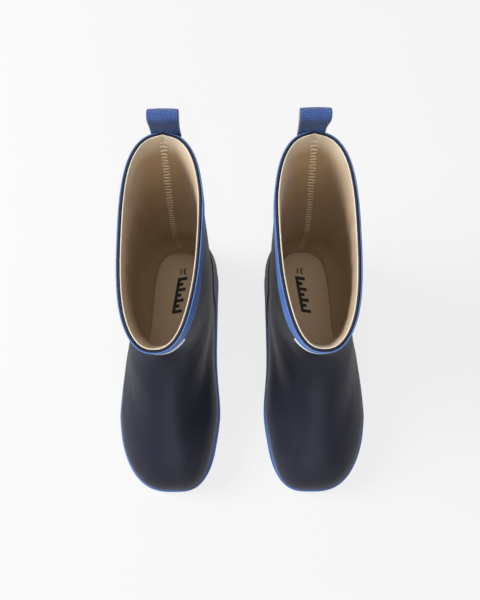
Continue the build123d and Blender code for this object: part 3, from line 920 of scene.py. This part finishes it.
def digits_mesh(text, size):
    """Flat outlines of a number in Blender's own font: its points and faces."""
    curve = bpy.data.curves.new("digits", "FONT")
    curve.body = text
    curve.size = size
    curve.offset = 0.022 * size
    curve.align_x = "CENTER"
    curve.align_y = "CENTER"
    holder = bpy.data.objects.new("digits", curve)
    bpy.context.scene.collection.objects.link(holder)
    bpy.context.view_layer.update()
    flat = bpy.data.meshes.new_from_object(holder.evaluated_get(bpy.context.evaluated_depsgraph_get()))
    bpy.data.objects.remove(holder)
    points = [tuple(vertex.co[:2]) for vertex in flat.vertices]
    faces = [list(polygon.vertices) for polygon in flat.polygons]
    bpy.data.meshes.remove(flat)
    return points, faces


def make_print(name, side):
    """The size number and a plain fit ruler on the insole's medial half, read heel to toe."""
    digits, faces = digits_mesh("31", 7.4)
    points = []
    ink_depth = insole_dish - 0.12
    bars = [(6.6, 39.6, -4.4, -1.6)]
    bars += [(6.6 + 5.0 * k, 9.6 + 5.0 * k, -1.8, 4.4 if k % 2 == 0 else 1.4) for k in range(7)]
    for u0, u1, v0, v1 in bars:
        count = len(digits) + len(points)
        columns = 8
        for k in range(columns + 1):
            u = u0 + (u1 - u0) * k / columns
            points += [(u, v0), (u, v1)]
        for k in range(columns):
            a = count + 2 * k
            faces.append([a, a + 2, a + 3, a + 1])
    lean = math.radians(9)
    xyz = []
    for u, v in digits:
        x, y = side * number_place[0] - u, number_place[1] - v
        xyz.append((x * MM, y * MM, (insole_top(y) - ink_depth) * MM))
    for u, v in points:
        along = u * math.cos(lean) + side * v * math.sin(lean)
        across = side * u * math.sin(lean) + v * math.cos(lean)
        x = side * ruler_place[0] + across
        y = ruler_place[1] - along
        xyz.append((x * MM, y * MM, (insole_top(y) - ink_depth) * MM))
    mesh = bpy.data.meshes.new(f"{name}_insole_print")
    mesh.from_pydata(xyz, [], faces)
    mesh.materials.append(ink)
    mesh.update()
    piece = bpy.data.objects.new(f"{name}_insole_print", mesh)
    bpy.context.scene.collection.objects.link(piece)
    bend_with_insole(piece)


def loop_path(steps):
    """The webbing's middle line in the loop's plane: up the front leg, over and down the back."""
    wall = loop_wall / 2
    fold_r = 3.1
    fold_y = loop_back - fold_r - wall - 0.3
    fold_z = loop_top - fold_r - wall
    over = np.linspace(math.radians(190), math.radians(-20), 40)
    arc = np.stack([fold_y + fold_r * np.cos(over), fold_z + fold_r * np.sin(over)], axis=1)
    front = collar_back + 0.1
    start = np.array([
        [front - 0.5, boot_height - 5],
        [front, boot_height + 0.5],
        [front - 0.4, boot_height + 6],
    ])
    back = collar_back + band_wall + 0.75
    end = np.array([
        [back + 0.8, boot_height + 4],
        [back, boot_height - 1.5],
        [back, band_bottom + 4.0],
    ])
    path = np.concatenate([start, arc, end])
    run = np.concatenate([[0], np.cumsum(np.hypot(*np.diff(path, axis=0).T))])
    at = np.linspace(0, run[-1], steps)
    smooth = np.stack([np.interp(at, run, path[:, k]) for k in (0, 1)], axis=1)
    reach = 5
    kernel = np.hanning(2 * reach + 3)[1:-1]
    kernel /= kernel.sum()
    for k in (0, 1):
        padded = np.pad(smooth[:, k], reach, mode="edge")
        smooth[reach:-reach, k] = np.convolve(padded, kernel, mode="valid")[reach:-reach]
    return smooth, at


def make_loop(name, side, lean, pinch):
    """The pull loop: a strap of webbing, its diamond weave raised between two plain selvedges.
    lean moves its top sideways and pinch narrows its base, in millimetres."""
    path, run = loop_path(241)
    ahead = np.gradient(path, axis=0)
    ahead /= np.linalg.norm(ahead, axis=1, keepdims=True)
    outward = np.stack([-ahead[:, 1], ahead[:, 0]], axis=1)
    across = np.linspace(-0.5, 0.5, 91)
    rise = np.clip((path[:, 1] - hinge_z) / (loop_top - hinge_z), 0, 1)[:, None]
    u = across[None, :] * (loop_width - pinch * (1 - smooth_step(rise, 0, 0.8)))
    v = run[:, None]
    weave = 2.0
    diamond = np.abs(np.sin(math.pi * (u + v) / weave) * np.sin(math.pi * (u - v) / weave))
    from_edge = (0.5 - np.abs(across[None, :])) * loop_width
    plain_part = 1 - smooth_step(from_edge, 1.9, 2.3)
    stripe = 0.5 + 0.5 * np.cos(2 * math.pi * from_edge / 0.95)
    height = 0.26 * diamond * (1 - plain_part) + plain_part * (0.1 + 0.12 * stripe)
    thin = np.sqrt(np.clip(1 - (np.abs(across) / 0.5) ** 30, 0, 1))[None, :]
    bow = 0.35 * (1 - (2 * across[None, :]) ** 2) * smooth_step(rise, 0.1, 0.5)

    def face(direction, relief):
        lift = direction * (loop_wall / 2 - 0.2) * thin + direction * relief * thin + bow
        x = loop_x + u + lean * rise
        y = path[:, :1] + outward[:, :1] * lift
        z = path[:, 1:] + outward[:, 1:] * lift
        return np.stack(np.broadcast_arrays(x, y, z), axis=-1)

    flat = np.stack(np.broadcast_arrays(u, v), axis=-1)
    sheet = Sheet()
    outer_face = face(1, height)
    inner_face = face(-1, 0.06 * diamond)
    first = sheet.add_grid(outer_face, flat, flip=True)
    outer_count = len(sheet.faces)
    second = sheet.add_grid(inner_face, flat)
    rows, columns = outer_face.shape[:2]
    close_rim(sheet, first, second, rows, columns, flat, flip=True)
    piece = make_object(f"{name}_webbing_loop", sheet, side, webbing, None)
    piece.data.materials.append(tape)
    for polygon in piece.data.polygons:
        polygon.material_index = 0 if polygon.index < outer_count else 1
    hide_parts(f"{name}_pull_loop", f"{name}_loop_tail")
    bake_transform(piece)


def dress_node(node, material):
    """A CAD node that stays gets a better material."""
    thing = frame["nodes"][node]
    thing.data.materials.clear()
    thing.data.materials.append(material)


def make_boot(name, side):
    body = f"{name}_boot"
    make_upper(name, side, body)
    make_lining(name, side, body)
    make_band(name, side, body)
    make_foxing(name, side, body)
    make_sole_side(name, side, body)
    make_counter(name, side, body)
    make_back_strip(name, side, body)
    make_patch(name, side, body)
    make_lining_seam(name, side, body)
    make_insole(name, side)
    make_print(name, side)
    make_loop(name, side, *((0.3, 1.6) if side > 0 else (-0.9, 0.6)))
    dress_node(f"{name}_outsole", blue)
    dress_node(f"{name}_sole_filler", foam)
    dress_node(f"{name}_insole_board", board)


make_boot("left", 1)
make_boot("right", -1)


# ------------------------------------------------------------------------------ floor, light, camera
def make_floor():
    half = 4.0
    mesh = bpy.data.meshes.new("studio_floor")
    corners = [(-half, -half, 0), (half, -half, 0), (half, half, 0), (-half, half, 0)]
    mesh.from_pydata(corners, [], [(0, 1, 2, 3)])
    floor = bpy.data.objects.new("studio_floor", mesh)
    bpy.context.scene.collection.objects.link(floor)
    material, _, _, shader = new_material("studio_floor")
    shader.inputs["Base Color"].default_value = (0.12, 0.12, 0.12, 1)
    shader.inputs["Emission Color"].default_value = (1, 1, 1, 1)
    shader.inputs["Emission Strength"].default_value = 0.765
    shader.inputs["Roughness"].default_value = 0.9
    shader.inputs["Specular IOR Level"].default_value = 0.1
    mesh.materials.append(material)
    floor.location.z = -0.0002


def make_light(name, place, aim, size, power):
    light = bpy.data.lights.new(name, "AREA")
    light.shape = "DISK"
    light.size = size
    light.energy = power
    lamp = bpy.data.objects.new(name, light)
    bpy.context.scene.collection.objects.link(lamp)
    lamp.location = place
    lamp.rotation_euler = (Vector(aim) - Vector(place)).to_track_quat("-Z", "Y").to_euler()


def make_camera():
    """Above the toes, looking almost straight down and a little back towards the heels."""
    tilt, roll, pan = math.radians(11.2), math.radians(-0.31), math.radians(-0.48)
    view = np.array([0, math.sin(tilt), -math.cos(tilt)])
    up = np.array([0, math.cos(tilt), math.sin(tilt)])
    right = np.array([1.0, 0, 0])
    view, right = view * math.cos(pan) + right * math.sin(pan), right * math.cos(pan) - view * math.sin(pan)
    right, up = right * math.cos(roll) + up * math.sin(roll), up * math.cos(roll) - right * math.sin(roll)
    camera_data = bpy.data.cameras.new("camera")
    camera_data.sensor_fit = "HORIZONTAL"
    camera_data.sensor_width = 36.0
    camera_data.lens = 36.0 * 602 / 480
    camera_data.clip_start = 0.01
    camera = bpy.data.objects.new("camera", camera_data)
    bpy.context.scene.collection.objects.link(camera)
    middle_sole = (toe_y + heel_y) / 2
    rotation = Matrix((right, up, -view)).transposed().to_4x4()
    camera.matrix_world = Matrix.Translation((3.3 * MM, (middle_sole - 48.3) * MM, 0.544)) @ rotation
    bpy.context.scene.camera = camera


make_floor()
make_light("key", (-1.15, 0.25, 1.15), (0, 0, 0.05), 0.8, 30)
make_light("top", (0, 0.05, 1.6), (0, 0.03, 0), 0.55, 7)
make_light("front", (0.1, -1.3, 0.85), (0, 0, 0.1), 0.7, 7)
make_camera()
world = bpy.data.worlds.new("studio")
world.use_nodes = True
world.node_tree.nodes["Background"].inputs["Color"].default_value = (1, 1, 1, 1)
world.node_tree.nodes["Background"].inputs["Strength"].default_value = 0.26
bpy.context.scene.world = world
bpy.context.scene.view_settings.view_transform = "Standard"
